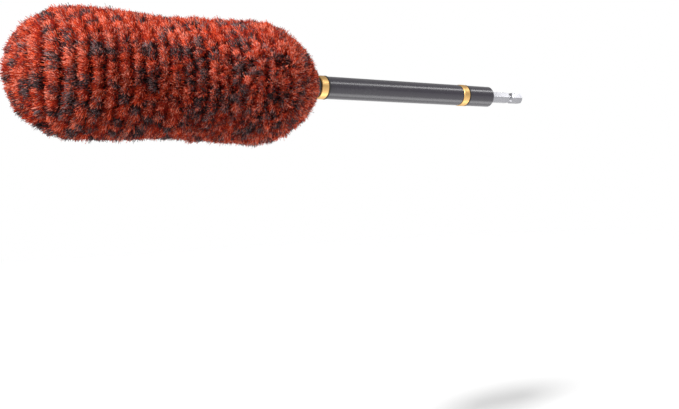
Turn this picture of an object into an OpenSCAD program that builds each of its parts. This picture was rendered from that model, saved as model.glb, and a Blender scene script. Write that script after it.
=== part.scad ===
// Wheel brush for a power drill: a twisted-in-wire pile head on a driven spindle, with a guide
// handle that turns freely on two ball bearings. The axis is X. The shank points along +X, the head
// along -X, and the origin is the centre of the shank's end face. Sizes are in millimetres.

/* [Spindle] */
// Distance across the flats of the hexagonal shank
hex_af = 6.35; // [6:0.05:6.5]
// Length of the hexagonal shank
shank_l = 28; // [26:0.5:32]
// Length of the collar in front of the shank
collar_l = 20.9; // [18:0.1:30]

/* [Guide handle] */
// Outside diameter of the handle tube and of the collar
sleeve_d = 12.7; // [11.8:0.1:13]
// Length of the handle tube between its two rings
sleeve_l = 100.4; // [60:0.2:140]
// Outside diameter of the two end rings
ring_d = 13.3; // [13:0.1:15]
// Width of each end ring's flange
ring_w = 5; // [4:0.5:8]

/* [Head] */
// Length of the pile along the stem
pile_l = 166; // [120:1:200]
// Diameter of the pile
pile_d = 62; // [50:1:80]
// Length of the dome at the tip
tip_dome_l = 32; // [20:1:40]
// Length of the dome that faces the handle
back_dome_l = 38; // [30:1:50]
// Diameter of the pile where it ends at the neck
pile_mouth_d = 15; // [14:0.5:18]
// Thickness of the stem's wire
wire_d = 2.6; // [2.2:0.1:2.7]
// Length of one full turn of the twisted stem
twist_pitch = 18; // [14:1:24]

/* [Hidden] */
$fn = 72;

// Shaft, and the bushes and spacer that slide onto it
shaft_r = 3;
bush_r = 3.6;

// Miniature ball bearing, 6 x 10 x 3
race_r = 5;
race_w = 3;
ball_r = 0.6;
ball_count = 9;
ball_pitch_r = (shaft_r + race_r) / 2;
groove_r = ball_r + 0.02;
race_land = 0.4;
shield_t = 0.2;
cage_w = 2;
cage_half_t = 0.3;

// Gaps between what turns and what doesn't, and the soft rings in the joints
running_gap = 0.15;
neck_gap = 0.3;
washer_t = 0.55;
front_gasket_t = 0.7;
rear_gasket_t = 0.3;
spigot_l = 4;
edge_r = 0.7;
spring_t = 0.4;

// Stations along the axis, from the shank's end towards the head
shoulder_x = -shank_l;
collar_x = shoulder_x - collar_l;
rear_ring_x = collar_x - washer_t - running_gap;
rear_flange_x = rear_ring_x - ring_w;
sleeve_rear_x = rear_flange_x - rear_gasket_t;
sleeve_front_x = sleeve_rear_x - sleeve_l;
front_flange_x = sleeve_front_x - front_gasket_t;
front_ring_x = front_flange_x - ring_w;
neck_x = front_ring_x - neck_gap;
rear_bearing_x = sleeve_rear_x - spigot_l - race_w / 2;
front_bearing_x = sleeve_front_x + spigot_l + race_w / 2;

// Hub between the shaft and the stem
hub_r = 5;
hub_l = 20;
shaft_in_hub = 8.5;
hub_wall = 3;
wire_socket_l = hub_l - shaft_in_hub - hub_wall;
hub_front_x = neck_x - hub_l;
boot_l = 10.7;
pin_r = 0.9;
screw_r = 1.5;
hex_key_r = 0.87;
hex_key_depth = 1.1;

// Stem and pile
pile_back_x = neck_x - 0.6;
pile_tip_x = pile_back_x - pile_l;
strand_r = wire_d / 2 + 0.15;
stem_r = strand_r + wire_d / 2;
guard_r = 4;
guard_l = 11.6;
guard_tip_x = pile_tip_x + 2.3;
bend_x = guard_tip_x + 1.8 + stem_r;
pile_gap = 0.15;
back_power = 1.9;

// Turns a profile of [station, radius] points about the X axis
module turned(profile) {
    rotate([0, 90, 0]) rotate_extrude() polygon([for (p = profile) [p.y, p.x]]);
}

// Plain ring or tube between two stations
module tube(x0, x1, r_out, r_in) {
    turned([[x0, r_in], [x1, r_in], [x1, r_out], [x0, r_out]]);
}

// Round bar between two stations
module bar(x0, x1, r) {
    translate([x0, 0, 0]) rotate([0, 90, 0]) cylinder(r = r, h = x1 - x0);
}

// Radial hole or plug on the +Y side, from radius r0 to radius r1
module radial(x, r0, r1, r) {
    translate([x, r0, 0]) rotate([-90, 0, 0]) cylinder(r = r, h = r1 - r0);
}

// Grub screw on the +Y side whose key socket faces outwards
module grub_screw(x, r0, r1) {
    difference() {
        radial(x, r0, r1, screw_r);
        translate([x, r1 - hex_key_depth, 0]) rotate([-90, 0, 0])
            cylinder(r = hex_key_r, h = hex_key_depth + 1, $fn = 6);
    }
}

// Points of a quarter round of radius r, centred at [x, y], from angle a0 to a1
function quarter(x, y, r, a0, a1, steps = 6) =
    [for (i = [0:steps]) let (a = a0 + (a1 - a0) * i / steps) [x + r * cos(a), y + r * sin(a)]];

/* Drive: everything that turns with the chuck */

collar_screw_xs = [collar_x + 7, collar_x + 14];

// Cross pin through the hub and the end of the shaft
module pin_bar(length) {
    translate([neck_x - shaft_in_hub / 2, 0, 0]) cylinder(r = pin_r, h = length, center = true);
}

module drive_spindle() {
    chamfer = 0.9;
    detent_x = -10.3;
    detent_r = 2.4;
    detent_bend_r = 2;
    corner_r = hex_af / 2 / cos(30);
    color("#a9adb3") union() {
        difference() {
            intersection() {
                translate([shoulder_x, 0, 0]) rotate([0, 90, 0]) rotate([0, 0, 30])
                    cylinder(r = corner_r, h = shank_l, $fn = 6);
                turned([[shoulder_x, 0], [0, 0], [0, corner_r - chamfer],
                    [-chamfer, corner_r + 0.1], [shoulder_x, corner_r + 0.1]]);
            }
            translate([detent_x, 0, 0]) rotate([0, 90, 0]) rotate_extrude()
                translate([detent_r + detent_bend_r, 0]) circle(r = detent_bend_r);
        }
        difference() {
            bar(neck_x - shaft_in_hub, shoulder_x, shaft_r);
            pin_bar(4 * hub_r);
        }
    }
}

module rear_collar() {
    chamfer = 1.3;
    color("#17181c") difference() {
        turned([[collar_x, shaft_r], [shoulder_x, shaft_r], [shoulder_x, sleeve_d / 2 - chamfer],
            [shoulder_x - chamfer, sleeve_d / 2], [collar_x + 0.3, sleeve_d / 2],
            [collar_x, sleeve_d / 2 - 0.3]]);
        for (x = collar_screw_xs) radial(x, shaft_r - 0.5, sleeve_d, screw_r);
    }
}

module collar_screws() {
    color("#3a3b3f") for (x = collar_screw_xs) grub_screw(x, shaft_r, sleeve_d / 2 - 0.2);
}

module dust_washer() {
    color("#101012") tube(collar_x - washer_t, collar_x, ring_d / 2 - 0.05, bush_r);
}

module rear_bush() {
    color("#9a9ea4") tube(rear_bearing_x + race_w / 2, collar_x, bush_r, shaft_r);
}

module race_spacer() {
    color("#9a9ea4")
        tube(front_bearing_x + race_w / 2 + spring_t, rear_bearing_x - race_w / 2, bush_r, shaft_r);
}

// Shallow cone that pushes the front inner race away from the spacer
module preload_spring() {
    x0 = front_bearing_x + race_w / 2;
    wall = 0.2;
    color("#8c9096")
        turned([[x0, shaft_r + 0.1], [x0 + wall, shaft_r + 0.1], [x0 + spring_t, bush_r - 0.05],
            [x0 + spring_t - wall, bush_r - 0.05]]);
}

module front_bush() {
    color("#9a9ea4") tube(neck_x, front_bearing_x - race_w / 2, bush_r, shaft_r);
}

module stem_socket() {
    color("#2a2b30") difference() {
        bar(hub_front_x, neck_x, hub_r);
        bar(neck_x - shaft_in_hub, neck_x + 1, shaft_r);
        bar(hub_front_x - 1, hub_front_x + wire_socket_l, stem_r + 0.1);
        pin_bar(4 * hub_r);
        for (side = [0, 180]) rotate([side, 0, 0])
            radial(hub_front_x + wire_socket_l / 2, stem_r - 0.5, 2 * hub_r, screw_r);
    }
}

module socket_pin() {
    color("#8c9096") pin_bar(2 * hub_r - 0.2);
}

module socket_screws() {
    color("#3a3b3f") for (side = [0, 180]) rotate([side, 0, 0])
        grub_screw(hub_front_x + wire_socket_l / 2, stem_r + 0.02, hub_r - 0.1);
}

module neck_boot() {
    color("#141416") turned([[neck_x, hub_r], [neck_x, sleeve_d / 2 - 0.3], [neck_x - 0.3, sleeve_d / 2],
        [neck_x - boot_l + 2, sleeve_d / 2], [neck_x - boot_l, hub_r + 0.3], [neck_x - boot_l, hub_r]]);
}

// The wire's route: straight in the hub, twisted, round the bend at the tip, and back. Each entry is
// a point and a direction across the wire.
function across(a) = [0, -sin(a), cos(a)];
function strand(x, a, side) = [[x, side * strand_r * cos(a), side * strand_r * sin(a)], across(a)];
twist_start_x = hub_front_x - 0.5;
twist_l = twist_start_x - bend_x;
twist_steps = round(12 * twist_l / twist_pitch);
twist_end_a = 360 * twist_l / twist_pitch;
outward = [for (i = [0:twist_steps])
    strand(twist_start_x - twist_l * i / twist_steps, twist_end_a * i / twist_steps, 1)];
tip_bend = [for (i = [1:5]) let (a = i * 30)
    [[bend_x - strand_r * sin(a), strand_r * cos(a) * cos(twist_end_a),
        strand_r * cos(a) * sin(twist_end_a)], across(twist_end_a)]];
homeward = [for (i = [twist_steps:-1:0])
    strand(twist_start_x - twist_l * i / twist_steps, twist_end_a * i / twist_steps, -1)];
wire_end_x = hub_front_x + wire_socket_l - 0.2;
wire_route = concat([strand(wire_end_x, 0, 1)], outward, tip_bend, homeward, [strand(wire_end_x, 0, -1)]);

function unit(v) = v / norm(v);
function heading(i) = unit(wire_route[min(i + 1, len(wire_route) - 1)][0] - wire_route[max(i - 1, 0)][0]);
function wire_ring(i, sides) = let (
        t = heading(i), c = wire_route[i][1], u = unit(c - (c * t) * t), v = cross(t, u))
    [for (k = [0:sides - 1]) let (a = 360 * k / sides)
        wire_route[i][0] + wire_d / 2 * (cos(a) * u + sin(a) * v)];

module stem_wire() {
    sides = 8;
    rings = len(wire_route);
    points = [for (i = [0:rings - 1]) each wire_ring(i, sides)];
    walls = [for (i = [0:rings - 2], k = [0:sides - 1]) let (
            a = i * sides + k, b = i * sides + (k + 1) % sides)
        each [[a, a + sides, b], [b, a + sides, b + sides]]];
    first = [for (k = [0:sides - 1]) k];
    last = [for (k = [sides - 1:-1:0]) (rings - 1) * sides + k];
    color("#b4b7bb") polyhedron(points = points, faces = concat(walls, [first, last]));
}

// Soft cap over the wire's bend
module tip_guard() {
    color("#1d1d1f") turned(concat(
        [[guard_tip_x + guard_l, stem_r + 0.1], [guard_tip_x + guard_l, guard_r]],
        [for (p = quarter(guard_tip_x + guard_r, 0, guard_r, 90, 180)) p],
        [[guard_tip_x + 1.6, 0], [guard_tip_x + 1.6, stem_r + 0.1]]));
}

// Station and radius on a dome of the pile that grows from r0 to r1 over its length. A power of 1 is
// an ellipse, and a higher one draws the dome in to a cone at its edge
function dome(x_edge, length, r0, r1, power, steps) =
    [for (i = [0:steps]) let (a = 90 * i / steps)
        [x_edge + length * (1 - cos(a)), r0 + (r1 - r0) * pow(sin(a), power)]];

module fibre_pile() {
    steps = 12;
    tip = dome(pile_tip_x, tip_dome_l, 0, pile_d / 2, 1, steps);
    back = dome(pile_back_x, -back_dome_l, pile_mouth_d / 2, pile_d / 2, back_power, steps);
    pocket_r = sleeve_d / 2 + 2 * pile_gap;
    bore_r = stem_r + pile_gap;
    color("#c8371f") turned(concat(
        tip,
        [for (i = [steps:-1:0]) back[i]],
        [[pile_back_x, pocket_r], [hub_front_x - pile_gap, pocket_r], [hub_front_x - pile_gap, bore_r],
            [guard_tip_x + guard_l + pile_gap, bore_r],
            [guard_tip_x + guard_l + pile_gap, guard_r + pile_gap],
            [guard_tip_x - pile_gap, guard_r + pile_gap], [guard_tip_x - pile_gap, 0]]));
}

/* Guide handle: the tube that is held still while the spindle turns in it */

module guide_sleeve() {
    through_r = race_r - race_land;
    edge = 0.3;
    r = sleeve_d / 2;
    seat = spigot_l + race_w;
    color("#121318") turned([[sleeve_front_x, race_r], [sleeve_front_x, r - edge],
        [sleeve_front_x + edge, r], [sleeve_rear_x - edge, r], [sleeve_rear_x, r - edge],
        [sleeve_rear_x, race_r], [sleeve_rear_x - seat, race_r], [sleeve_rear_x - seat, through_r],
        [sleeve_front_x + seat, through_r], [sleeve_front_x + seat, race_r]]);
}

// Flange between two stations with both outer edges rounded, and a spigot that ends at spigot_x
module end_ring(x_out, x_in, spigot_x) {
    way = sign(x_in - x_out);
    r = ring_d / 2;
    bore_r = bush_r + 0.2;
    rim = concat(
        [for (p = quarter(0, 0, edge_r, 180, 90)) [x_out + way * (edge_r + p.x), r - edge_r + p.y]],
        [for (p = quarter(0, 0, edge_r, 90, 0)) [x_in + way * (p.x - edge_r), r - edge_r + p.y]]);
    turned(concat([[x_out, bore_r]], rim, [[x_in, race_r], [spigot_x, race_r], [spigot_x, bore_r]]));
}

module front_ring() {
    color("#c9973f") end_ring(front_ring_x, front_flange_x, sleeve_front_x + spigot_l);
}

module rear_ring() {
    color("#c9973f") end_ring(rear_ring_x, rear_flange_x, sleeve_rear_x - spigot_l);
}

module front_gasket() {
    color("#0d0d0f") tube(front_flange_x, sleeve_front_x, ring_d / 2 + 0.05, race_r);
}

module rear_gasket() {
    color("#0d0d0f") tube(sleeve_rear_x, rear_flange_x, sleeve_d / 2 - 0.1, race_r);
}

/* Ball bearings */

// Ring-shaped channel that the balls run in
module ball_channel(x) {
    translate([x, 0, 0]) rotate([0, 90, 0]) rotate_extrude()
        translate([ball_pitch_r, 0]) circle(r = groove_r);
}

module outer_race(x) {
    color("#b9bcc0") difference() {
        tube(x - race_w / 2, x + race_w / 2, race_r, ball_pitch_r + race_land);
        ball_channel(x);
    }
}

module inner_race(x) {
    color("#b9bcc0") difference() {
        tube(x - race_w / 2, x + race_w / 2, ball_pitch_r - race_land, shaft_r);
        ball_channel(x);
    }
}

module shields(x) {
    color("#84888e") for (side = [-1, 1])
        tube(x + side * (race_w / 2 - 0.1) - shield_t / 2, x + side * (race_w / 2 - 0.1) + shield_t / 2,
            ball_pitch_r + race_land, ball_pitch_r - race_land + 0.1);
}

module each_ball(x, r) {
    for (i = [0:ball_count - 1]) rotate([i * 360 / ball_count, 0, 0])
        translate([x, 0, ball_pitch_r]) sphere(r = r);
}

module cage(x) {
    color("#b08d57") difference() {
        tube(x - cage_w / 2, x + cage_w / 2, ball_pitch_r + cage_half_t, ball_pitch_r - cage_half_t);
        each_ball(x, ball_r + 0.06);
    }
}

module balls(x) {
    color("#d5d8dc") each_ball(x, ball_r);
}

module rear_outer_race() outer_race(rear_bearing_x);
module front_outer_race() outer_race(front_bearing_x);
module rear_inner_race() inner_race(rear_bearing_x);
module front_inner_race() inner_race(front_bearing_x);
module rear_shields() shields(rear_bearing_x);
module front_shields() shields(front_bearing_x);
module rear_cage() cage(rear_bearing_x);
module front_cage() cage(front_bearing_x);
module rear_balls() balls(rear_bearing_x);
module front_balls() balls(front_bearing_x);

drive_spindle();
rear_collar();
collar_screws();
dust_washer();
rear_bush();
race_spacer();
preload_spring();
front_bush();
rear_inner_race();
front_inner_race();
stem_socket();
socket_pin();
socket_screws();
neck_boot();
stem_wire();
tip_guard();
fibre_pile();
guide_sleeve();
front_ring();
rear_ring();
front_gasket();
rear_gasket();
rear_outer_race();
front_outer_race();
rear_shields();
front_shields();
rear_cage();
rear_balls();
front_cage();
front_balls();
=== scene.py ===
"""Looks of a drill-driven wheel brush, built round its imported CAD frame.

The axis of the brush is X: the shank points along +X and the soft head along -X. The frame carries the
turned parts, which get their finishes here, and the plain solid of the pile is replaced by real fibres.
"""

import logging
import math
from dataclasses import dataclass, field
from enum import Enum
from typing import Any, Union

import bpy
import numpy as np
from mathutils import Matrix, Vector


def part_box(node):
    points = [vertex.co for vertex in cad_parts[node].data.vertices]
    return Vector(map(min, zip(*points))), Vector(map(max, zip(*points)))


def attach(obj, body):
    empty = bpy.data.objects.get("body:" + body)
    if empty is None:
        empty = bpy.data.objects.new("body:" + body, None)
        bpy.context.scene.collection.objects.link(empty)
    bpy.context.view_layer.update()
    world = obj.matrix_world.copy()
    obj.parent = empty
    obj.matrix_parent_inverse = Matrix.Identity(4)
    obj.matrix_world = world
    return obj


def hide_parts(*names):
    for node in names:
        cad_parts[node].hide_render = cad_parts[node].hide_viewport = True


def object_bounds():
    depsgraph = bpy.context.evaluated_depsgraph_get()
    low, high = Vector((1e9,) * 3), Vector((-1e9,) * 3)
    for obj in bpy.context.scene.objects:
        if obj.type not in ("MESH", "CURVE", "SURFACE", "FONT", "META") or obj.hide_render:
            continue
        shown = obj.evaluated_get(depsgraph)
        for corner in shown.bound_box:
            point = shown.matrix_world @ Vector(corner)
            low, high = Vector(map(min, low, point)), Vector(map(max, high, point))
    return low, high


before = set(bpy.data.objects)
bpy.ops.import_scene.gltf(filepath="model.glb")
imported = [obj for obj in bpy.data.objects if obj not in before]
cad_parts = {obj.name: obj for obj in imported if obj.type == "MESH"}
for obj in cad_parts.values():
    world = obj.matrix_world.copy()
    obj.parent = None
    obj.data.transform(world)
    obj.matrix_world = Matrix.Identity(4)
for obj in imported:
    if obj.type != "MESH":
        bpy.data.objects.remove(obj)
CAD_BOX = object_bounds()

LOG = logging.getLogger("wheel_brush")
MM = 0.001

Colour = tuple[float, float, float, float]
Number = Union[float, "Signal"]


# --------------------------------------------------------------------------- node trees


class Signal:
    """One output socket that can be used in Python arithmetic, which adds Math nodes to its tree."""

    def __init__(self, bench: "Bench", socket: bpy.types.NodeSocket) -> None:
        """Wraps a socket.

        Args:
            bench: The bench that owns the tree.
            socket: The output socket.
        """
        self.bench = bench
        self.socket = socket

    def maths(self, operation: str, *others: Number, clamp: bool = False) -> "Signal":
        """Adds one Math node that reads this signal first.

        Args:
            operation: The Math node's operation.
            others: The second and third operands.
            clamp: True to hold the result between 0 and 1.

        Returns:
            The result.
        """
        values = dict(enumerate((self, *others)))
        settings = {"operation": operation, "use_clamp": clamp}
        return self.bench.node("ShaderNodeMath", settings, values)[0]

    def __add__(self, other: Number) -> "Signal":
        """Returns self + other."""
        return self.maths("ADD", other)

    def __radd__(self, other: Number) -> "Signal":
        """Returns other + self."""
        return self.maths("ADD", other)

    def __sub__(self, other: Number) -> "Signal":
        """Returns self - other."""
        return self.maths("SUBTRACT", other)

    def __rsub__(self, other: Number) -> "Signal":
        """Returns other - self."""
        return self.bench.value(other).maths("SUBTRACT", self)

    def __mul__(self, other: Number) -> "Signal":
        """Returns self * other."""
        return self.maths("MULTIPLY", other)

    def __rmul__(self, other: Number) -> "Signal":
        """Returns other * self."""
        return self.maths("MULTIPLY", other)

    def __truediv__(self, other: Number) -> "Signal":
        """Returns self / other."""
        return self.maths("DIVIDE", other)

    def __pow__(self, other: Number) -> "Signal":
        """Returns self to the power of other."""
        return self.maths("POWER", other)

    def clamped(self) -> "Signal":
        """Returns the signal held between 0 and 1."""
        return self.maths("ADD", 0.0, clamp=True)

    def over(self, other: Number) -> "Signal":
        """Returns 1 where the signal is greater than other, and 0 elsewhere."""
        return self.maths("GREATER_THAN", other)


class Bench:
    """Adds nodes to one shader or geometry tree."""

    def __init__(self, tree: bpy.types.NodeTree) -> None:
        """Takes over an empty tree.

        Args:
            tree: The tree that receives the nodes.
        """
        self.tree = tree

    def node(
        self, kind: str, settings: dict[str, Any] | None = None, values: dict[Any, Any] | None = None
    ) -> list[Signal]:
        """Adds one node.

        Args:
            kind: The node's type.
            settings: Properties of the node, which are set first.
            values: Its inputs by name or number, each a Signal or a plain value.

        Returns:
            The node's enabled outputs.
        """
        made = self.tree.nodes.new(kind)
        for name, value in (settings or {}).items():
            setattr(made, name, value)
        for key, value in (values or {}).items():
            socket = self._input(made, key)
            if isinstance(value, Signal):
                self.tree.links.new(value.socket, socket)
            else:
                socket.default_value = value
        return [Signal(self, s) for s in made.outputs if s.enabled]

    @staticmethod
    def _input(made: bpy.types.Node, key: int | str) -> bpy.types.NodeSocket:
        """Returns an enabled input by its name, or by its number among all inputs."""
        if isinstance(key, int):
            return made.inputs[key]
        return next(s for s in made.inputs if s.name == key and s.enabled)

    def value(self, number: Number) -> Signal:
        """Returns a plain number as a signal, and a signal as it is."""
        if isinstance(number, Signal):
            return number
        return self.node("ShaderNodeMath", {"operation": "ADD"}, {0: number, 1: 0.0})[0]

    def mix_colour(self, share: Number, a: Any, b: Any) -> Signal:
        """Blends two colours.

        Args:
            share: How much of b shows.
            a: The first colour.
            b: The second colour.

        Returns:
            The blended colour.
        """
        return self.node("ShaderNodeMix", {"data_type": "RGBA"}, {"Factor": share, "A": a, "B": b})[0]

    def vector(self, operation: str, **values: Any) -> Signal:
        """Adds one Vector Math node.

        Args:
            operation: Its operation.
            values: a, b and scale, each a Signal or a plain value.

        Returns:
            The node's first enabled output.
        """
        keys = {"a": 0, "b": 1, "scale": "Scale"}
        settings = {"operation": operation}
        return self.node("ShaderNodeVectorMath", settings, {keys[k]: v for k, v in values.items()})[0]


# --------------------------------------------------------------------------- finishes


def rgba(red: float, green: float, blue: float) -> Colour:
    """Returns a linear colour with full opacity."""
    return (red, green, blue, 1.0)


@dataclass(frozen=True)
class Finish:
    """A surface finish: what stays the same all over it.

    Attributes:
        name: The material's name.
        base: Main linear colour.
        roughness: Mean roughness.
        metallic: 0 for paint, plastic and fibre, 1 for bare metal.
        coat: Weight of a clear coat.
        coat_roughness: Roughness of that coat.
        specular: Level of the mirror-like reflection, 0.5 for common plastic.
    """

    name: str
    base: Colour
    roughness: float = 0.5
    metallic: float = 0.0
    coat: float = 0.0
    coat_roughness: float = 0.1
    specular: float = 0.5

    def material(self) -> bpy.types.Material:
        """Builds the material.

        Returns:
            The finished material.
        """
        made = bpy.data.materials.new(self.name)
        made.use_nodes = True
        made.diffuse_color = self.base
        tree = made.node_tree
        tree.nodes.clear()
        bench = Bench(tree)
        constants = {
            "Metallic": self.metallic,
            "Roughness": self.roughness,
            "Coat Weight": self.coat,
            "Coat Roughness": self.coat_roughness,
            "Specular IOR Level": self.specular,
        }
        surface = bench.node("ShaderNodeBsdfPrincipled", None, {**constants, **self.pattern(bench)})[0]
        bench.node("ShaderNodeOutputMaterial", None, {"Surface": surface})
        return made

    def pattern(self, bench: Bench) -> dict[str, Any]:
        """Returns the shader inputs that change over the surface.

        Args:
            bench: The bench of the material's tree.

        Returns:
            Input names and their signals.
        """
        return {"Base Color": self.base}


def place(bench: Bench) -> Signal:
    """Returns the piece's own coordinates, in metres."""
    outputs = bench.tree.nodes.new("ShaderNodeTexCoord").outputs
    return Signal(bench, outputs["Object"])


def noise(bench: Bench, where: Signal, scale: float, detail: float = 3.0, rough: float = 0.5) -> Signal:
    """Returns a soft noise between 0 and 1.

    Args:
        bench: The bench of the tree.
        where: The coordinates.
        scale: Lumps per metre.
        detail: Number of finer layers.
        rough: Strength of the finer layers.

    Returns:
        The noise's value.
    """
    values = {"Vector": where, "Scale": scale, "Detail": detail, "Roughness": rough}
    return bench.node("ShaderNodeTexNoise", {"noise_dimensions": "3D"}, values)[0]


@dataclass(frozen=True)
class TurnedFinish(Finish):
    """A turned part: fine tool marks run round it, and handling leaves soft smudges.

    Attributes:
        marks_per_metre: How close the tool marks lie along the axis.
        mark_depth: Strength of the marks in the bump.
        smudge: How much handling changes the roughness.
        worn: Colour that shows through where the finish is worn.
        wear: How much of it shows, at most.
    """

    marks_per_metre: float = 2600.0
    mark_depth: float = 0.1
    smudge: float = 0.1
    worn: Colour = (0.5, 0.5, 0.5, 1.0)
    wear: float = 0.0

    def pattern(self, bench: Bench) -> dict[str, Any]:
        """Returns tool marks, smudges and wear.

        Args:
            bench: The bench of the material's tree.

        Returns:
            Base Color, Roughness and Normal.
        """
        where = place(bench)
        round_the_axis = (1.0, 0.02, 0.02)
        smudges_per_metre, specks_per_metre = 90.0, 900.0
        stretched = bench.vector("MULTIPLY", a=where, b=round_the_axis)
        marks = noise(bench, stretched, self.marks_per_metre, 2.0, 0.6)
        smudges = noise(bench, where, smudges_per_metre, 3.0)
        specks = noise(bench, where, specks_per_metre, 2.0)
        rough = (smudges - 0.5) * (2 * self.smudge) + (marks - 0.5) * self.smudge + self.roughness
        shown = ((specks * smudges - 0.3) * 5.0 * self.wear).clamped()
        tinted = bench.mix_colour((smudges - 0.35).clamped() * 0.35, self.base, rgba(0, 0, 0))
        colour = bench.mix_colour(shown, tinted, self.worn)
        bump = bench.node(
            "ShaderNodeBump", None, {"Strength": self.mark_depth, "Distance": 0.02 * MM, "Height": marks}
        )[0]
        return {"Base Color": colour, "Roughness": rough.clamped(), "Normal": bump}


@dataclass(frozen=True)
class RubberFinish(Finish):
    """Moulded rubber: a fine grain and a powdery bloom."""

    def pattern(self, bench: Bench) -> dict[str, Any]:
        """Returns grain and bloom.

        Args:
            bench: The bench of the material's tree.

        Returns:
            Base Color, Roughness and Normal.
        """
        where = place(bench)
        grains_per_metre, blooms_per_metre = 4000.0, 160.0
        grain = noise(bench, where, grains_per_metre, 2.0)
        bloom = noise(bench, where, blooms_per_metre, 3.0)
        colour = bench.mix_colour((bloom - 0.4).clamped() * 0.25, self.base, rgba(0.09, 0.09, 0.1))
        rough = (bloom * 0.2 + self.roughness - 0.1).clamped()
        values = {"Strength": 0.25, "Distance": 0.03 * MM, "Height": grain}
        bump = bench.node("ShaderNodeBump", None, values)[0]
        return {"Base Color": colour, "Roughness": rough, "Normal": bump}


@dataclass(frozen=True)
class YarnFinish(Finish):
    """Dyed fibres: each lock takes the dye a little differently, and painted shade makes the roots darker
    than the tips.

    Attributes:
        painted_root_shade: Painted shade at the roots, the colour that a fibre turns to below its lit share.
        bright: Colour of the palest locks.
        faded_and_sheen: Colour of the few fibres that hardly take the dye, partly faded yarn and partly
            painted sheen.
        lit: Share of a fibre, from its tip, that keeps the dyed colour free of painted shade.
        sink: How fast the painted root shade deepens below that.
    """

    painted_root_shade: Colour = (0.1, 0.1, 0.1, 1.0)
    bright: Colour = (0.8, 0.8, 0.8, 1.0)
    faded_and_sheen: Colour = (0.9, 0.9, 0.9, 1.0)
    lit: float = 0.1
    sink: float = 1.6

    def pattern(self, bench: Bench) -> dict[str, Any]:
        """Returns the dye's variation.

        Args:
            bench: The bench of the material's tree.

        Returns:
            Base Color.
        """
        where = place(bench)
        strands = noise(bench, where, 1800.0, 2.0, 0.6)
        dye = bench.node("ShaderNodeAttribute", {"attribute_name": "dye"})[2]
        depth = bench.node("ShaderNodeAttribute", {"attribute_name": "depth"})[2]
        # Painted shade: below the lit share of each fibre, the colour turns to the painted root shade colour.
        root_shade_share = ((depth - self.lit) / (1.0 - self.lit) * self.sink).clamped()
        pale = (dye + (strands - 0.5)).clamped()
        dyed = bench.mix_colour(pale, self.base, self.bright)
        # Fibres with the highest dye turn pale: partly faded yarn, partly painted sheen.
        dyed = bench.mix_colour(((dye - 0.75) / 0.25).clamped() * 0.75, dyed, self.faded_and_sheen)
        return {"Base Color": bench.mix_colour(root_shade_share, dyed, self.painted_root_shade)}


class Palette:
    """Every finish on the brush."""

    anodised = TurnedFinish(
        "gloss_black_anodising", rgba(0.021, 0.018, 0.026), roughness=0.27, coat=0.25, coat_roughness=0.2,
        marks_per_metre=1500.0, mark_depth=0.015, smudge=0.05, worn=rgba(0.12, 0.12, 0.13), wear=0.15,
    )
    gold = TurnedFinish(
        "polished_brass", rgba(0.70, 0.44, 0.17), roughness=0.45, metallic=1.0,
        marks_per_metre=2200.0, mark_depth=0.25, smudge=0.08, worn=rgba(0.45, 0.25, 0.08), wear=0.25,
    )
    steel = TurnedFinish(
        "turned_tool_steel", rgba(0.33, 0.33, 0.35), roughness=0.32, metallic=1.0,
        marks_per_metre=1800.0, mark_depth=0.5, smudge=0.12, worn=rgba(0.2, 0.19, 0.18), wear=0.2,
    )
    bearing_steel = TurnedFinish(
        "ground_bearing_steel", rgba(0.68, 0.69, 0.71), roughness=0.14, metallic=1.0,
        marks_per_metre=4000.0, mark_depth=0.15, smudge=0.05, worn=rgba(0.4, 0.4, 0.4), wear=0.1,
    )
    cage_brass = TurnedFinish(
        "pressed_cage_brass", rgba(0.60, 0.42, 0.18), roughness=0.35, metallic=1.0, smudge=0.1,
        worn=rgba(0.3, 0.2, 0.1), wear=0.2,
    )
    black_oxide = TurnedFinish(
        "black_oxide_steel", rgba(0.035, 0.035, 0.04), roughness=0.42, metallic=0.6, smudge=0.1,
        worn=rgba(0.2, 0.2, 0.2), wear=0.3,
    )
    wire = TurnedFinish(
        "drawn_wire", rgba(0.6, 0.61, 0.63), roughness=0.3, metallic=1.0, smudge=0.1,
        worn=rgba(0.25, 0.24, 0.23), wear=0.2,
    )
    rubber = RubberFinish("black_rubber", rgba(0.012, 0.012, 0.013), roughness=0.6)
    # The yarns' root colours below are painted shade; their palest fibre colours are partly faded yarn and
    # partly painted sheen.
    vermilion = YarnFinish(
        "vermilion_yarn", rgba(0.26, 0.010, 0.006), roughness=0.8, specular=0.1,
        painted_root_shade=rgba(0.07, 0.003, 0.0015), bright=rgba(0.95, 0.115, 0.03),
        faded_and_sheen=rgba(0.80, 0.30, 0.22),
    )
    charcoal = YarnFinish(
        "charcoal_yarn", rgba(0.012, 0.008, 0.010), roughness=0.8, specular=0.1,
        painted_root_shade=rgba(0.03, 0.003, 0.002), bright=rgba(0.14, 0.078, 0.075),
        faded_and_sheen=rgba(0.30, 0.19, 0.19),
    )
    # The inner body wears this finish at full depth, so it shows only the painted shade colour.
    backing = YarnFinish(
        "matted_roots_painted_shade", rgba(0.08, 0.005, 0.003), roughness=0.9, specular=0.1,
        painted_root_shade=rgba(0.03, 0.002, 0.0015), bright=rgba(0.12, 0.012, 0.008),
    )


# --------------------------------------------------------------------------- sub-assemblies


def dress(node: str, material: bpy.types.Material) -> None:
    """Gives a CAD node its finish.

    Args:
        node: The node's name.
        material: The material that replaces the one that came with it.
    """
    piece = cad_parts[node]
    if not piece.material_slots:
        piece.data.materials.append(material)
    for slot in piece.material_slots:
        slot.link = "OBJECT"
        slot.material = material
    LOG.info("dressed %s with %s", node, material.name)


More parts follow.
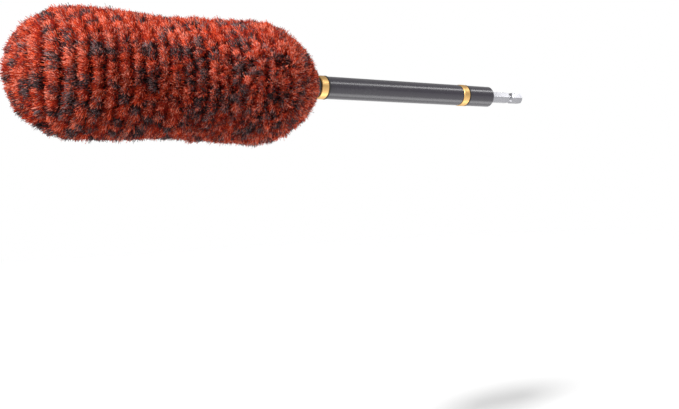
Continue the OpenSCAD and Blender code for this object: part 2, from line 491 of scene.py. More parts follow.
@dataclass
class DriveLine:
    """What turns with the chuck, apart from the pile: shank, collar, bushes, hub and wire stem.

    Attributes:
        steel_nodes: Nodes of bare tool steel.
        oxide_nodes: Nodes of blackened steel.
        rubber_nodes: Nodes of black rubber.
    """

    steel_nodes: tuple[str, ...] = (
        "drive_spindle", "rear_bush", "race_spacer", "preload_spring", "front_bush", "socket_pin",
    )
    oxide_nodes: tuple[str, ...] = ("collar_screws", "stem_socket", "socket_screws")
    rubber_nodes: tuple[str, ...] = ("dust_washer", "neck_boot", "tip_guard")

    def build(self) -> None:
        """Dresses every node of the drive line."""
        finishes = {
            Palette.steel: self.steel_nodes,
            Palette.black_oxide: self.oxide_nodes,
            Palette.rubber: self.rubber_nodes,
            Palette.wire: ("stem_wire",),
            Palette.anodised: ("rear_collar",),
        }
        for finish, nodes in finishes.items():
            material = finish.material()
            for node in nodes:
                dress(node, material)


@dataclass
class GuideHandle:
    """The tube that is held while the spindle turns inside it, with its two end rings."""

    def build(self) -> None:
        """Dresses the tube, the rings, and the black gaskets beside the rings, which also stand in as painted
        shade in the gaps there.
        """
        dress("guide_sleeve", Palette.anodised.material())
        gold = Palette.gold.material()
        for node in ("front_ring", "rear_ring"):
            dress(node, gold)
        # Black gaskets on both sides of each ring: washers that also stand for the shadow gaps beside the
        # rings, as painted shade.
        rubber = Palette.rubber.material()
        for node in ("front_gasket", "rear_gasket"):
            dress(node, rubber)


@dataclass
class Bearings:
    """Two miniature ball bearings.

    Attributes:
        ends: First word of the nodes' names at each end of the handle.
    """

    ends: tuple[str, ...] = ("front", "rear")

    def build(self) -> None:
        """Dresses races, shields, cages and balls."""
        steel = Palette.bearing_steel.material()
        brass = Palette.cage_brass.material()
        for end in self.ends:
            for part in ("inner_race", "outer_race", "shields", "balls"):
                dress(f"{end}_{part}", steel)
            dress(f"{end}_cage", brass)


class Yarn(Enum):
    """The two dyed yarns that the pile is made of."""

    VERMILION = "vermilion"
    CHARCOAL = "charcoal"


@dataclass(frozen=True)
class Row:
    """One row of tufts on the inner body.

    Attributes:
        points: Close points along the row.
        gap: Distance to the next row at each point, in metres.
    """

    points: np.ndarray
    gap: np.ndarray

    def spaced(self, step: float, rng: np.random.Generator) -> tuple[np.ndarray, np.ndarray, np.ndarray]:
        """Spaces tufts along the row, a little unevenly.

        Args:
            step: Distance between tufts, in metres.
            rng: Where the unevenness comes from.

        Returns:
            The tufts' places, the row's direction at each, and the gap there.
        """
        course = np.diff(self.points, axis=0)
        run = np.concatenate([[0], np.cumsum(np.linalg.norm(course, axis=1))])
        count = max(round(run[-1] / step), 3)
        way = (np.arange(count) + rng.uniform(0, 1) + rng.normal(0, 0.16, count)) / count * run[-1]
        way = np.mod(way, run[-1])
        here = np.clip(np.searchsorted(run, way) - 1, 0, len(course) - 1)
        spot = np.stack([np.interp(way, run, self.points[:, i]) for i in range(3)], -1)
        heading = course[here] / np.linalg.norm(course[here], axis=1)[:, None]
        return spot, heading, np.interp(way, run, self.gap)


@dataclass(frozen=True)
class Bulge:
    """A smooth rise or dip in the head's outline.

    Attributes:
        height: Its height, in metres. A dip is below zero.
        place: Its middle, as a share of the head's length from the tip.
        spread: How wide it is, as a share of that length.
    """

    height: float
    place: float
    spread: float


@dataclass(frozen=True)
class Habit:
    """How fibres differ from one another within a tuft.

    Attributes:
        true_yarn: Share of the fibres whose yarn isn't left to chance.
        stray: How far chance moves the tone of the others, either way.
        patch_scale: Patches of mixed yarn, per metre.
        patch: How much the patches move the tone in neat rows.
        patch_mess: How much more they do so in messy rows.
        mess_rank: How much less the tuft settles the yarn in messy rows.
        mess_tone: What messy rows add to the tone.
        lock_tone: How much one lock's tone differs from another's.
        tuft_dye: How much of the dye the tuft settles.
        lock_dye: How much of it the lock settles.
        painted_groove_shade: How much darker the dye is made in the grooves between rows, as painted shade.
        dye_shift: What is added to every fibre's dye.
        dye_range: Least and most that chance adds to it.
        splay: Lean away from the row's middle at its edge, in radians.
        crown_mess: How much the ends of a messy tuft drop.
        crown: How much the ends of any tuft drop.
        crown_side: How much the edges of a row drop.
        crown_least: Least height of a dropped end.
        flyaway: How far the longest fibres stand out.
        flyaway_rarity: How rare they are, as a power.
        neck_run: Distance from the neck over which the pile grows to its full depth, in metres.
        neck_reach: Share of its depth that the pile has at the neck.
        lock_reach: How much longer one lock is than another.
        reach_range: Least and most that chance makes of a fibre's length.
        fan_along: Lean along the row at a tuft's end.
        lock_sway: How much one lock's lean differs from another's.
        fibre_sway: How much one fibre's lean differs from another's.
        loose: Share of the fibres that aren't gathered into their tuft.
        gather_across: How far roots are gathered across the row.
        gather_along: How far roots are gathered along it.
        width_range: Thinnest and thickest fibre, as shares of the usual one.
    """

    true_yarn: float = 0.75
    stray: float = 0.6
    patch_scale: float = 560.0
    patch: float = 0.3
    patch_mess: float = 2.4
    mess_rank: float = 0.5
    mess_tone: float = 0.25
    lock_tone: float = 0.45
    tuft_dye: float = 0.35
    lock_dye: float = 0.75
    painted_groove_shade: float = 0.9
    dye_shift: float = -0.2
    dye_range: tuple[float, float] = (-0.6, 0.95)
    splay: float = 0.6
    crown_mess: float = 0.2
    crown: float = 0.06
    crown_side: float = 0.2
    crown_least: float = 0.35
    flyaway: float = 0.35
    flyaway_rarity: float = 18.0
    neck_run: float = 18 * MM
    neck_reach: float = 0.25
    lock_reach: float = 0.5
    reach_range: tuple[float, float] = (0.85, 1.2)
    fan_along: float = 0.3
    lock_sway: float = 0.4
    fibre_sway: float = 0.28
    loose: float = 0.12
    gather_across: float = -0.4
    gather_along: float = -0.24
    width_range: tuple[float, float] = (0.65, 1.2)


@dataclass
class PileHead:
    """The soft head: a matted inner body, and tufts of loose fibres that stand on it in rows.

    Attributes:
        tip_dome: Length of the dome at the tip, in metres.
        back_dome: Length of the dome that faces the handle, in metres.
        mouth: Radius of the pile where it ends at the neck, in metres.
        bare_neck: Length of the neck that the pile leaves bare, in metres.
        back_power: How much the dome at the handle is drawn in to a cone, 1 for an ellipse.
        bulges: The waist at the middle, and the swell near the handle and at the tip's shoulder.
        throat: Least radius of the inner body in its half at the handle, in metres.
        row_spacing: Distance between rows of tufts along the surface, in metres.
        fan_axis: Distance from the tip to the upright line that the rows over the tip fan out from.
        fan_rows: Number of rows that fan over the tip.
        tuft_spacing: Distance between tufts along a row, in metres.
        lock_spacing: Distance between the locks that the fibres of a tuft cling together in.
        lock_draw: How far the tips of a lock are drawn together, 1 for fully.
        sweep: How far the pile is swept towards the tip, as the tangent of its lean.
        depth: Depth of the loose fibres over the inner body, in metres.
        fibre_width: Thickness of a fibre, in metres.
        fibres: Number of fibres of both yarns.
        charcoal_share: Share of the charcoal yarn.
        per_piece: Fibres that one mesh holds, about.
        sides: Points round the inner body.
        rings: Points along the inner body.
        seed: Seed of everything random.
        habit: How the fibres differ from one another.
        low: Low corner of the CAD pile's box.
        high: High corner of that box.
    """

    tip_dome: float = 32 * MM
    back_dome: float = 38 * MM
    mouth: float = 7.5 * MM
    bare_neck: float = 1.4 * MM
    back_power: float = 2.1
    bulges: tuple[Bulge, ...] = (
        Bulge(-1.2 * MM, 0.45, 0.1), Bulge(1.0 * MM, 0.76, 0.12), Bulge(1.0 * MM, 0.06, 0.04),
    )
    throat: float = 6.75 * MM
    row_spacing: float = 6.4 * MM
    fan_axis: float = 20 * MM
    fan_rows: int = 9
    tuft_spacing: float = 4.0 * MM
    lock_spacing: float = 1.2 * MM
    lock_draw: float = 0.42
    sweep: float = 0.9
    depth: float = 4.3 * MM
    fibre_width: float = 0.23 * MM
    fibres: int = 450_000
    charcoal_share: float = 0.39
    per_piece: int = 36_000
    sides: int = 120
    rings: int = 200
    seed: int = 11
    habit: Habit = Habit()
    low: Vector = field(default_factory=lambda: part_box("fibre_pile")[0])
    high: Vector = field(default_factory=lambda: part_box("fibre_pile")[1])

    # ---- shape of the head

    @property
    def radius(self) -> float:
        """Radius of the pile, in metres."""
        return (self.high.z - self.low.z) / 2

    @property
    def length(self) -> float:
        """Length of the pile along the axis, in metres."""
        return self.high.x - self.low.x - self.bare_neck

    def outline(self, count: int) -> tuple[np.ndarray, np.ndarray, np.ndarray]:
        """Returns the pile's outer outline at even steps along it, from the tip to the neck.

        Args:
            count: Number of points.

        Returns:
            Station along the axis, radius, and distance run along the outline, in metres.
        """
        steps = 900
        fine = np.linspace(0, math.pi / 2, steps)
        tip_x, tip_r = self.tip_dome * (1 - np.cos(fine)), self.radius * np.sin(fine)
        back_x = self.length - self.back_dome * (1 - np.cos(fine[::-1]))
        back_r = self.mouth + (self.radius - self.mouth) * np.sin(fine[::-1]) ** self.back_power
        straight = np.linspace(tip_x[-1], back_x[0], steps)[1:-1]
        x = np.concatenate([tip_x, straight, back_x])
        r = np.concatenate([tip_r, np.full(len(straight), self.radius), back_r])
        for bulge in self.bulges:
            r = r + bulge.height * np.exp(-(((x / self.length - bulge.place) / bulge.spread) ** 2))
        run = np.concatenate([[0], np.cumsum(np.hypot(np.diff(x), np.diff(r)))])
        even = np.linspace(0, run[-1], count)
        return self.low.x + np.interp(even, run, x), np.interp(even, run, r), even

    def inner_outline(self, count: int) -> tuple[np.ndarray, np.ndarray, np.ndarray]:
        """Returns the inner body's outline, which lies under the loose fibres.

        Args:
            count: Number of points.

        Returns:
            Station and radius, and the distance run along the outer outline above each point.
        """
        x, r, run = self.outline(count)
        slope_x, slope_r = np.gradient(x, run), np.gradient(r, run)
        thin_run, thin_share, ease = 24 * MM, 0.2, 0.8
        tip_share, tip_slope, tip_r = 0.35, 0.6, 0.15 * MM
        to_mouth = np.clip((run[-1] - run) / thin_run, 0, 1)
        sunk = self.depth * (thin_share + (1 - thin_share) * to_mouth ** ease)
        sunk = np.minimum(sunk, self.depth * tip_share + r * tip_slope)
        inner_x, inner_r = x + sunk * slope_r, np.maximum(r - sunk * slope_x, tip_r)
        return inner_x, np.where(run > run[-1] / 2, np.maximum(inner_r, self.throat), inner_r), run

    @staticmethod
    def turned(x: np.ndarray, r: np.ndarray, sides: int) -> tuple[np.ndarray, list[list[int]]]:
        """Turns an outline about the X axis.

        Args:
            x: Stations.
            r: Radii.
            sides: Points round the axis.

        Returns:
            The points, and the quads between them.
        """
        turn = np.linspace(0, 2 * math.pi, sides, endpoint=False)
        wide, high = -r[:, None] * np.sin(turn), r[:, None] * np.cos(turn)
        points = np.stack(np.broadcast_arrays(x[:, None], wide, high), -1)
        i, k = np.meshgrid(np.arange(len(x) - 1), np.arange(sides), indexing="ij")
        a, b = i * sides + k, i * sides + (k + 1) % sides
        return points.reshape(-1, 3), np.stack([a, b, b + sides, a + sides], -1).reshape(-1, 4).tolist()

    @staticmethod
    def meshed(name: str, points: np.ndarray, faces: list[list[int]]) -> bpy.types.Object:
        """Makes a mesh object and links it.

        Args:
            name: The object's name.
            points: Its points.
            faces: Its faces.

        Returns:
            The object.
        """
        mesh = bpy.data.meshes.new(name)
        mesh.from_pydata(points.tolist(), [], faces)
        mesh.update()
        made = bpy.data.objects.new(name, mesh)
        bpy.context.scene.collection.objects.link(made)
        return made

    @staticmethod
    def note(mesh: bpy.types.Mesh, name: str, values: np.ndarray) -> None:
        """Stores numbers or vectors on a mesh's points.

        Args:
            mesh: The mesh.
            name: The attribute's name.
            values: One number or one vector for each point.
        """
        vectors = values.ndim == 2
        kind, key = ("FLOAT_VECTOR", "vector") if vectors else ("FLOAT", "value")
        mesh.attributes.new(name, kind, "POINT").data.foreach_set(key, values.astype(np.float32).ravel())

    def core(self) -> bpy.types.Object:
        """Builds the matted inner body with its pocket for the hub.

        Returns:
            The closed body.
        """
        x, r, _ = self.inner_outline(self.rings)
        hub, guard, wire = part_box("stem_socket"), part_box("tip_guard"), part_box("stem_wire")
        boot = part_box("neck_boot")
        gap, wide_gap, pinhole = 0.1 * MM, 0.25 * MM, 0.05 * MM
        pocket, bore, room = boot[1].z + wide_gap, wire[1].z + gap, guard[1].z + gap
        hub_end, guard_end, guard_tip = hub[0].x - gap, guard[1].x + gap, guard[0].x - gap
        inside = [(x[-1], pocket), (hub_end, pocket), (hub_end, bore), (guard_end, bore), (guard_end, room),
                  (guard_tip, room), (guard_tip, pinhole)]
        x = np.concatenate([x, [p[0] for p in inside]])
        r = np.concatenate([r, [p[1] for p in inside]])
        points, faces = self.turned(x, r, self.sides)
        last = len(points) - self.sides
        caps = [list(range(self.sides))[::-1], [last + k for k in range(self.sides)]]
        body = self.meshed("pile_core", points, faces + caps)
        # Depth 1 all over turns the whole inner body to the painted root shade of its finish.
        self.note(body.data, "depth", np.ones(len(points)))
        self.note(body.data, "dye", np.full(len(points), 0.4))
        return body

    def carrier(self) -> bpy.types.Object:
        """Builds the surface that the fibres are rooted on, with the distance run along the outline."""
        x, r, run = self.inner_outline(self.rings * 2)
        points, faces = self.turned(x, r, self.sides)
        surface = self.meshed("carrier", points, faces)
        self.note(surface.data, "station", np.repeat(run, self.sides))
        return surface

    def rings_of_tufts(self, x: np.ndarray, r: np.ndarray, run: np.ndarray) -> list[Row]:
        """Lays rows round the straight part and the dome at the handle.

        Args:
            x: Stations of the inner body.
            r: Its radii.
            run: Distance run along the outline.

        Returns:
            The rows.
        """
        turn = np.linspace(0, 2 * math.pi, 721)
        way = np.interp(self.low.x + self.fan_axis, x, run) + self.row_spacing / 2
        rows = []
        while way < run[-1]:
            here_x, here_r = np.interp(way, run, x), np.interp(way, run, r)
            points = np.stack([np.full(len(turn), here_x), here_r * np.sin(turn), here_r * np.cos(turn)], -1)
            rows.append(Row(points, np.full(len(turn), self.row_spacing)))
            way += self.row_spacing
        return rows

    def fan_of_tufts(self, x: np.ndarray, r: np.ndarray) -> list[Row]:
        """Lays rows over the tip, which fan out from an upright line inside it.

        Args:
            x: Stations of the inner body.
            r: Its radii.

        Returns:
            The rows.
        """
        axis_x = self.low.x + self.fan_axis
        pole = 0.12
        down = np.linspace(pole, math.pi - pole, 361)
        rows = []
        for i in range(self.fan_rows):
            swing = math.pi * (i + 0.5) / self.fan_rows
            flat = np.sin(down)
            ray = np.stack([-math.sin(swing) * flat, -math.cos(swing) * flat, np.cos(down)], -1)
            near, far = np.zeros(len(down)), np.full(len(down), 2 * self.radius)
            for _ in range(30):
                mid = (near + far) / 2
                at = ray * mid[:, None] + (axis_x, 0, 0)
                out = np.hypot(at[:, 1], at[:, 2])
                inside = (at[:, 0] > x[0]) & (out < np.interp(at[:, 0], x, r))
                near, far = np.where(inside, mid, near), np.where(inside, far, mid)
            points = ray * near[:, None] + (axis_x, 0, 0)
            gap = near * np.sin(down) * math.pi / self.fan_rows
            crowded = gap < self.row_spacing * (0.35 + 0.25 * (i % 2))
            rows.append(Row(points[~crowded], gap[~crowded]))
        return rows

    def tufts(self) -> bpy.types.Object:
        """Lays out the tufts along the rows.

        Returns:
            A mesh of points, one for each tuft, with the tuft's own directions and dye.
        """
        rng = np.random.default_rng(self.seed)
        x, r, run = self.inner_outline(3000)
        spots, courses, gaps = [], [], []
        for row in self.rings_of_tufts(x, r, run) + self.fan_of_tufts(x, r):
            spot, course, gap = row.spaced(self.tuft_spacing, rng)
            spots.append(spot)
            courses.append(course)
            gaps.append(gap)
        points, along, gap = np.concatenate(spots), np.concatenate(courses), np.concatenate(gaps)
        count = len(points)
        slope = np.interp(points[:, 0], x, np.gradient(r) / np.maximum(np.gradient(x), 1e-9))
        radial = points * (0, 1, 1)
        radial = radial / (np.linalg.norm(radial, axis=1)[:, None] + 1e-9)
        normal = radial - np.clip(slope, -8, 8)[:, None] * (1, 0, 0)
        normal = normal / np.linalg.norm(normal, axis=1)[:, None]
        across = np.cross(normal, along)
        share, height = (points[:, 0] - self.low.x) / self.length, points[:, 2] / self.radius
        neat, messy, jog, tilt = 0.22, 0.8, 0.15, 0.3
        # Rows get messier towards the handle, and stay neater on top.
        mess = np.clip(share * 1.1 - 0.05 - 0.25 * np.maximum(height, 0), neat, messy)
        points = points + across * (rng.normal(0, jog, count) * mess * gap)[:, None]
        lean = across * rng.normal(0, tilt, (count, 1)) + along * rng.normal(0, tilt, (count, 1))
        sweep = self.sweep * np.clip((1.05 - share) / 0.3, 0, 1) * np.clip(share / 0.12 + 0.3, 0, 1)
        # Charcoal is a little commoner below and towards the handle.
        warmth = rng.uniform(0, 1, count) + 0.1 * height - 0.22 * share
        cloud = self.meshed("tufts", points, [])
        self.note(cloud.data, "across", across)
        self.note(cloud.data, "along", along)
        self.note(cloud.data, "lean", lean * mess[:, None])
        self.note(cloud.data, "gap", gap)
        self.note(cloud.data, "sweep", sweep)
        self.note(cloud.data, "rank", np.argsort(np.argsort(warmth)) / count)
        self.note(cloud.data, "dye", rng.uniform(0, 1, count))
        self.note(cloud.data, "mess", mess)
        LOG.info("laid out %d tufts", count)
        return cloud

    # ---- fibres

    def fibre(self) -> bpy.types.Object:
        """Builds one fibre of unit size: a closed sliver whose cut end lies across its root."""
        half = 0.5
        points = np.array([(half, 0, 1), (-half, 0, 1), (0, half, 0), (0, -half, 0)])
        sliver = self.meshed("fibre", points, [[0, 1, 3], [1, 0, 2], [2, 3, 1], [3, 2, 0]])
        # Depth runs from 0 at the tip to 1 at the root, and sets where the yarn finish paints its root shade.
        self.note(sliver.data, "depth", 1 - points[:, 2])
        return sliver

    def fibre_tree(self) -> bpy.types.NodeTree:
        """Builds the Geometry Nodes tree that grows one yarn's fibres.

        Returns:
            The node group.
        """
        tree = bpy.data.node_groups.new("grow_fibres", "GeometryNodeTree")
        inputs = {
            "Geometry": "NodeSocketGeometry",
            "Tufts": "NodeSocketObject",
            "Fibre": "NodeSocketObject",
            "Density": "NodeSocketFloat",
            "Seed": "NodeSocketInt",
            "Depth": "NodeSocketFloat",
            "Width": "NodeSocketFloat",
            "Tuft spacing": "NodeSocketFloat",
            "Locks": "NodeSocketFloat",
            "Draw": "NodeSocketFloat",
            "Charcoal share": "NodeSocketFloat",
            "Charcoal": "NodeSocketFloat",
            "End": "NodeSocketFloat",
            "From": "NodeSocketFloat",
            "To": "NodeSocketFloat",
            "Material": "NodeSocketMaterial",
        }
        for name, kind in inputs.items():
            tree.interface.new_socket(name, in_out="INPUT", socket_type=kind)
        tree.interface.new_socket("Geometry", in_out="OUTPUT", socket_type="NodeSocketGeometry")
        bench, habit = Bench(tree), self.habit
        given = dict(zip(inputs, bench.node("NodeGroupInput")))
        seed = given["Seed"]

        def chance(low: float, high: float, salt: int) -> Signal:
            """Returns a random number for each point, different for each salt."""
            values = {"Min": low, "Max": high, "Seed": seed + float(salt)}
            return bench.node("FunctionNodeRandomValue", {"data_type": "FLOAT"}, values)[0]

        def scatter(salt: int) -> Signal:
            """Returns a random vector for each point, different for each salt."""
            ends = {"Min": (-1.0, -1.0, -1.0), "Max": (1.0, 1.0, 1.0)}
            values = {**ends, "Seed": seed + float(salt)}
            return bench.node("FunctionNodeRandomValue", {"data_type": "FLOAT_VECTOR"}, values)[0]

        def stored(name: str, kind: str = "FLOAT") -> Signal:
            """Returns a named attribute."""
            return bench.node("GeometryNodeInputNamedAttribute", {"data_type": kind}, {"Name": name})[0]

        def store(geometry: Signal, name: str, value: Signal, kind: str = "FLOAT") -> Signal:
            """Stores a named attribute on the geometry's points."""
            settings = {"data_type": kind, "domain": "POINT"}
            values = {"Geometry": geometry, "Name": name, "Value": value}
            return bench.node("GeometryNodeStoreNamedAttribute", settings, values)[0]

        def scaled(vector: Signal, factor: Number) -> Signal:
            """Returns a vector times a number."""
            return bench.vector("SCALE", a=vector, scale=factor)

        def summed(*vectors: Signal) -> Signal:
            """Returns the sum of vectors."""
            total = vectors[0]
            for vector in vectors[1:]:
                total = bench.vector("ADD", a=total, b=vector)
            return total

        def dot(a: Signal, b: Signal) -> Signal:
            """Returns the dot product of two vectors."""
            return bench.node("ShaderNodeVectorMath", {"operation": "DOT_PRODUCT"}, {0: a, 1: b})[0]

        seeded = bench.node(
            "GeometryNodeDistributePointsOnFaces",
            {"distribute_method": "RANDOM"},
            {"Mesh": given["Geometry"], "Density": given["Density"], "Seed": seed},
        )
        points = store(seeded[0], "outward", seeded[1], "FLOAT_VECTOR")
        station = stored("station")
        inside = station.over(given["From"]) * station.maths("LESS_THAN", given["To"])
        points = bench.node(
            "GeometryNodeDeleteGeometry", {"domain": "POINT"}, {"Geometry": points, "Selection": 1.0 - inside}
        )[0]
        where = bench.node("GeometryNodeInputPosition")[0]

        cloud = bench.node("GeometryNodeObjectInfo", None, {"Object": given["Tufts"]})[-1]
        nearest = bench.node("GeometryNodeSampleNearest", {"domain": "POINT"}, {"Geometry": cloud})[0]

        def of_tuft(value: Signal, kind: str = "FLOAT") -> Signal:
            """Returns a value of the nearest tuft."""
            values = {"Geometry": cloud, "Value": value, "Index": nearest}
            return bench.node("GeometryNodeSampleIndex", {"data_type": kind, "domain": "POINT"}, values)[0]

        across = of_tuft(stored("across", "FLOAT_VECTOR"), "FLOAT_VECTOR")
        along = of_tuft(stored("along", "FLOAT_VECTOR"), "FLOAT_VECTOR")
        lean = of_tuft(stored("lean", "FLOAT_VECTOR"), "FLOAT_VECTOR")
        mess = of_tuft(stored("mess"))
        away = bench.vector("SUBTRACT", a=where, b=of_tuft(where, "FLOAT_VECTOR"))
        side = dot(away, across) * 2.0 / of_tuft(stored("gap"))
        edge = 1.15
        side = side.maths("MINIMUM", edge).maths("MAXIMUM", -edge)
        pace = dot(away, along) * 2.0 / given["Tuft spacing"]

        # Each lock is one cell, whose colour gives it three random numbers.
        cell = bench.node(
            "ShaderNodeTexVoronoi",
            {"voronoi_dimensions": "3D", "feature": "F1"},
            {"Vector": where, "Scale": given["Locks"], "Randomness": 1.0},
        )
        one, two, three = bench.node("ShaderNodeSeparateXYZ", None, {"Vector": cell[1]})

        # The tuft settles the yarn, and a few stray fibres lie among the other yarn.
        stray = chance(0.0, 1.0, 7).over(habit.true_yarn) * chance(-habit.stray, habit.stray, 8)
        mottle = noise(bench, where, habit.patch_scale, 1.0)
        patch = (mottle - 0.5) * (mess * habit.patch_mess + habit.patch)
        tone = of_tuft(stored("rank")) * (1.0 - mess * habit.mess_rank) + patch + mess * habit.mess_tone
        tone = tone + (three - 0.5) * habit.lock_tone + stray
        dark = tone.maths("LESS_THAN", given["Charcoal share"])
        other = (dark - given["Charcoal"]).maths("ABSOLUTE").over(0.5)
        points = store(points, "other", other)
        dye = of_tuft(stored("dye")) * habit.tuft_dye + habit.dye_shift + one * habit.lock_dye
        # Painted shade: the dye drops towards the edges of each row, which darkens the grooves between rows.
        dye = dye - side * side * habit.painted_groove_shade + chance(*habit.dye_range, 12)
        points = store(points, "dye", dye.clamped())

        # Fibres are longest at the middle of a tuft, and stay short near the neck.
        sway = bench.vector("SUBTRACT", a=cell[1], b=(0.5, 0.5, 0.5))
        splay = side * habit.splay
        crown = 1.0 - pace * pace * (mess * habit.crown_mess + habit.crown) - side * side * habit.crown_side
        flyaway = chance(0.0, 1.0, 3) ** habit.flyaway_rarity
        close = ((given["End"] - station) / habit.neck_run).clamped()
        reach = given["Depth"] * (close * (1 - habit.neck_reach) + habit.neck_reach)
        reach = reach * crown.maths("MAXIMUM", habit.crown_least)
        reach = reach * (two * habit.lock_reach + chance(*habit.reach_range, 2) + flyaway * habit.flyaway)

        # They stand on the surface, splay from the row's middle, lean to the tip and cling to their lock.
        normal = stored("outward", "FLOAT_VECTOR")
        drawn = bench.vector("SUBTRACT", a=cell[2], b=where)
        drawn = bench.vector("SUBTRACT", a=drawn, b=scaled(normal, dot(drawn, normal)))
        forward = bench.node("ShaderNodeCombineXYZ", None, {"X": -1.0, "Y": 0.0, "Z": 0.0})[0]
        forward = bench.vector("SUBTRACT", a=forward, b=scaled(normal, dot(forward, normal)))
        aim = summed(
            scaled(normal, splay.maths("COSINE")), scaled(across, splay.maths("SINE")),
            scaled(forward, of_tuft(stored("sweep"))), scaled(along, pace * habit.fan_along), lean,
            scaled(sway, habit.lock_sway), scaled(scatter(5), habit.fibre_sway),
            scaled(drawn, given["Draw"] / given["Depth"]),
        )
        points = store(points, "aim", aim, "FLOAT_VECTOR")
        points = store(points, "reach", reach)
        held = chance(0.0, 1.0, 10).over(habit.loose)
        gather = summed(
            scaled(across, side * of_tuft(stored("gap")) * habit.gather_across),
            scaled(along, pace * given["Tuft spacing"] * habit.gather_along),
        )
        gather = scaled(gather, held)
        points = store(points, "gather", gather, "FLOAT_VECTOR")
        values = {"Geometry": points, "Selection": stored("other")}
        points = bench.node("GeometryNodeDeleteGeometry", {"domain": "POINT"}, values)[0]
        values = {"Geometry": points, "Offset": stored("gather", "FLOAT_VECTOR")}
        points = bench.node("GeometryNodeSetPosition", None, values)[0]

        fibre = bench.node("GeometryNodeObjectInfo", None, {"Object": given["Fibre"]})[-1]
        roll = bench.node("ShaderNodeCombineXYZ", None, {"X": 0.0, "Y": 0.0, "Z": chance(0.0, 6.28, 6)})[0]
        pose = bench.node(
            "FunctionNodeAlignRotationToVector",
            {"axis": "Z"},
            {"Rotation": roll, "Vector": stored("aim", "FLOAT_VECTOR")},
        )[0]
        thick = given["Width"] * chance(*habit.width_range, 4)
        scale = bench.node("ShaderNodeCombineXYZ", None, {"X": thick, "Y": thick, "Z": stored("reach")})[0]
        grown = bench.node(
            "GeometryNodeInstanceOnPoints",
            None,
            {"Points": points, "Instance": fibre, "Rotation": pose, "Scale": scale},
        )[0]
        solid = bench.node("GeometryNodeRealizeInstances", None, {"Geometry": grown})[0]
        values = {"Geometry": solid, "Material": given["Material"]}
        solid = bench.node("GeometryNodeSetMaterial", None, values)[0]
        bench.node("NodeGroupOutput", None, {"Geometry": solid})
        return tree

    def bands(self, count: int) -> list[tuple[float, float]]:
        """Splits the head into bands of even area.

        Args:
            count: Number of bands.

        Returns:
            Where each band starts and stops, as distances run along the outline, in metres.
        """
        _, r, run = self.inner_outline(self.rings * 2)
        area = np.concatenate([[0], np.cumsum((r[1:] + r[:-1]) * np.diff(run))])
        edges = np.interp(np.linspace(0, area[-1], count + 1), area, run)
        edges[0], edges[-1] = -1.0, 1.0
        return list(zip(edges[:-1].tolist(), edges[1:].tolist()))

    def grow(
        self, surface: bpy.types.Object, tree: bpy.types.NodeTree, values: dict[str, Any], label: str
    ) -> bpy.types.Object:
        """Grows one piece of pile.

        Args:
            surface: What the fibres are rooted on.
            tree: The fibre tree.
            values: The tree's inputs by name.
            label: The piece's name.

        Returns:
            A plain mesh object.
        """
        grower = surface.modifiers.new("fibres", "NODES")
        grower.node_group = tree
        for item in tree.interface.items_tree:
            if item.in_out == "INPUT" and item.name in values:
                grower[item.identifier] = values[item.name]
        seen = surface.evaluated_get(bpy.context.evaluated_depsgraph_get())
        mesh = bpy.data.meshes.new_from_object(seen)
        surface.modifiers.remove(grower)
        mesh.name = label
        for name in ("outward", "aim", "reach", "station", "other", "gather"):
            if name in mesh.attributes:
                mesh.attributes.remove(mesh.attributes[name])
        mesh.shade_smooth()
        piece = bpy.data.objects.new(label, mesh)
        bpy.context.scene.collection.objects.link(piece)
        LOG.info("grew %s: %d faces", label, len(mesh.polygons))
        return piece

    def build(self) -> None:
        """Makes the whole head and puts it in the CAD pile's place."""
        core = self.core()
        core.data.materials.append(Palette.backing.material())
        core.data.shade_smooth()
        pieces = [core]
        surface, cloud, fibre, tree = self.carrier(), self.tufts(), self.fibre(), self.fibre_tree()
        end = max(a.value for a in surface.data.attributes["station"].data)
        area = sum(p.area for p in surface.data.polygons)
        shared = {
            "Tufts": cloud,
            "Fibre": fibre,
            "End": end,
            "Density": self.fibres / area,
            "Seed": self.seed,
            "Depth": self.depth,
            "Width": self.fibre_width,
            "Tuft spacing": self.tuft_spacing,
            "Locks": 1 / self.lock_spacing,
            "Draw": self.lock_draw,
            "Charcoal share": self.charcoal_share,
        }
        yarns = {
            Yarn.VERMILION: (Palette.vermilion, 1 - self.charcoal_share, 0.0),
            Yarn.CHARCOAL: (Palette.charcoal, self.charcoal_share, 1.0),
        }
        for yarn, (finish, share, charcoal) in yarns.items():
            material = finish.material()
            for i, (start, stop) in enumerate(self.bands(math.ceil(self.fibres * share / self.per_piece))):
                values = {**shared, "Charcoal": charcoal, "From": start, "To": stop, "Material": material}
                pieces.append(self.grow(surface, tree, values, f"pile_{yarn.value}_{i + 1}"))
        for tool in (surface, cloud, fibre):
            bpy.data.objects.remove(tool)
        for piece in pieces:
            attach(piece, "drive")
            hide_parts("fibre_pile")
            LOG.info("placed %s", piece.name)


# --------------------------------------------------------------------------- studio


@dataclass(frozen=True)
class SoftBox:
    """A soft lamp near the brush.

    Attributes:
        name: Its name.
        offset: Where it hangs from the middle of the brush, in metres.
        aim: The point it faces, from the middle of the brush, in metres.
        power: Its power in watts.
        width: Its width, in metres.
        height: Its height, in metres.
    """

    name: str
    offset: tuple[float, float, float]
    aim: tuple[float, float, float]
    power: float
    width: float
    height: float


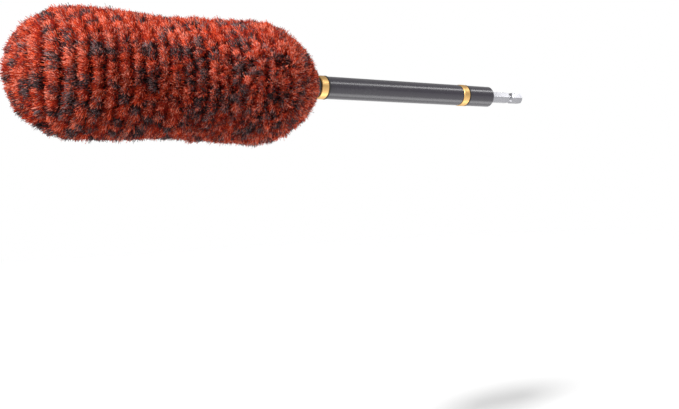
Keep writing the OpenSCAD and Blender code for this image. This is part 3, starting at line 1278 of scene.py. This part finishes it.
@dataclass
class Studio:
    """A white studio: pale floor, white surroundings, soft boxes and the camera.

    Attributes:
        lens: Focal length for a 36 mm wide sensor, in millimetres.
        azimuth: Direction the camera looks in, turned from +Y towards -X, in degrees.
        pitch: How far the camera looks down, in degrees.
        roll: How far the camera leans over, in degrees.
        stand: Camera's place from the middle of the front ring, in metres.
        floor_drop: Height of the brush's axis over the floor, in metres.
        floor_half: Half of the floor's width, in metres.
        key_from: The direction that the sun shines from.
        key_strength: The sun's strength in watts per square metre.
        key_spread: The sun's apparent width in degrees.
        seen_light: Strength of the surroundings where the camera sees them.
        fill_light: Strength of the surroundings as a light.
        boxes: The soft boxes.
    """

    lens: float = 47.24
    azimuth: float = -34.75
    pitch: float = -0.68
    roll: float = 2.37
    stand: Vector = field(default_factory=lambda: Vector((-0.2777, -0.4151, -0.0721)))
    floor_drop: float = 0.30
    floor_half: float = 6.0
    key_from: tuple[float, float, float] = (-0.8, -0.5, 0.42)
    key_strength: float = 4.0
    key_spread: float = 6.0
    seen_light: float = 1.0
    fill_light: float = 0.55
    boxes: tuple[SoftBox, ...] = (
        SoftBox("strip", (0.6, -0.6, 0.62), (0.0, 0.0, 0.0), 3.6, 1.2, 0.16),
        SoftBox("bounce", (0.27, -0.045, -0.27), (0.27, 0.0, 0.0), 0.6, 0.6, 0.15),
    )

    def ring(self) -> Vector:
        """Returns the middle of the front ring's flange."""
        low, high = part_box("front_ring")
        flange = 5 * MM
        return Vector((low.x + flange / 2, 0, 0))

    def camera(self) -> None:
        """Makes the camera."""
        data = bpy.data.cameras.new("camera")
        data.lens, data.sensor_width = self.lens, 36.0
        data.clip_start, data.clip_end = 0.01, 50.0
        seen = bpy.data.objects.new("camera", data)
        bpy.context.scene.collection.objects.link(seen)
        a, e = math.radians(self.azimuth), math.radians(self.pitch)
        back = Vector((math.sin(a) * math.cos(e), -math.cos(a) * math.cos(e), math.sin(e)))
        turned = (-back).to_track_quat("-Z", "Y").to_matrix().to_4x4()
        lean = Matrix.Rotation(-math.radians(self.roll), 4, "Z")
        seen.matrix_world = Matrix.Translation(self.ring() + self.stand) @ turned @ lean
        bpy.context.scene.camera = seen

    def floor(self) -> None:
        """Makes the pale floor."""
        half, z = self.floor_half, -self.floor_drop
        mesh = bpy.data.meshes.new("floor")
        corners = [(-half, -half, z), (half, -half, z), (half, half, z), (-half, half, z)]
        mesh.from_pydata(corners, [], [(0, 1, 2, 3)])
        piece = bpy.data.objects.new("floor", mesh)
        bpy.context.scene.collection.objects.link(piece)
        mesh.materials.append(Finish("pale_floor", rgba(0.96, 0.96, 0.96), roughness=0.9).material())

    def lamp(self, box: SoftBox) -> None:
        """Adds a soft box.

        Args:
            box: What it is and where it hangs.
        """
        middle = (CAD_BOX[0] + CAD_BOX[1]) / 2
        data = bpy.data.lights.new(box.name, "AREA")
        data.shape, data.size, data.size_y, data.energy = "RECTANGLE", box.width, box.height, box.power
        lamp = bpy.data.objects.new(box.name, data)
        lamp.location, lamp.visible_camera = middle + Vector(box.offset), False
        facing = (middle + Vector(box.aim)) - (middle + Vector(box.offset))
        lamp.rotation_euler = facing.to_track_quat("-Z", "Y").to_euler()
        bpy.context.scene.collection.objects.link(lamp)

    def sun(self) -> None:
        """Adds the broad, distant light."""
        data = bpy.data.lights.new("key", "SUN")
        data.energy, data.angle = self.key_strength, math.radians(self.key_spread)
        lamp = bpy.data.objects.new("key", data)
        lamp.rotation_euler = (-Vector(self.key_from)).to_track_quat("-Z", "Y").to_euler()
        bpy.context.scene.collection.objects.link(lamp)

    def surroundings(self) -> None:
        """Gives the scene white surroundings."""
        world = bpy.data.worlds.new("white_studio")
        world.use_nodes = True
        tree = world.node_tree
        tree.nodes.clear()
        bench = Bench(tree)
        seen = bench.node("ShaderNodeLightPath")[0]
        strength = seen * (self.seen_light - self.fill_light) + self.fill_light
        values = {"Color": rgba(1.0, 1.0, 1.0), "Strength": strength}
        shade = bench.node("ShaderNodeBackground", None, values)[0]
        bench.node("ShaderNodeOutputWorld", None, {"Surface": shade})
        bpy.context.scene.world = world
        bpy.context.scene.view_settings.view_transform = "Standard"

    def build(self) -> None:
        """Makes the whole studio."""
        self.camera()
        self.floor()
        self.surroundings()
        self.sun()
        for box in self.boxes:
            self.lamp(box)


def main() -> None:
    """Builds every sub-assembly in order."""
    logging.basicConfig(level=logging.INFO, format="%(name)s: %(message)s")
    for part in (Studio(), DriveLine(), GuideHandle(), Bearings(), PileHead()):
        part.build()
        LOG.info("finished %s", type(part).__name__)


if __name__ == "__main__":
    main()
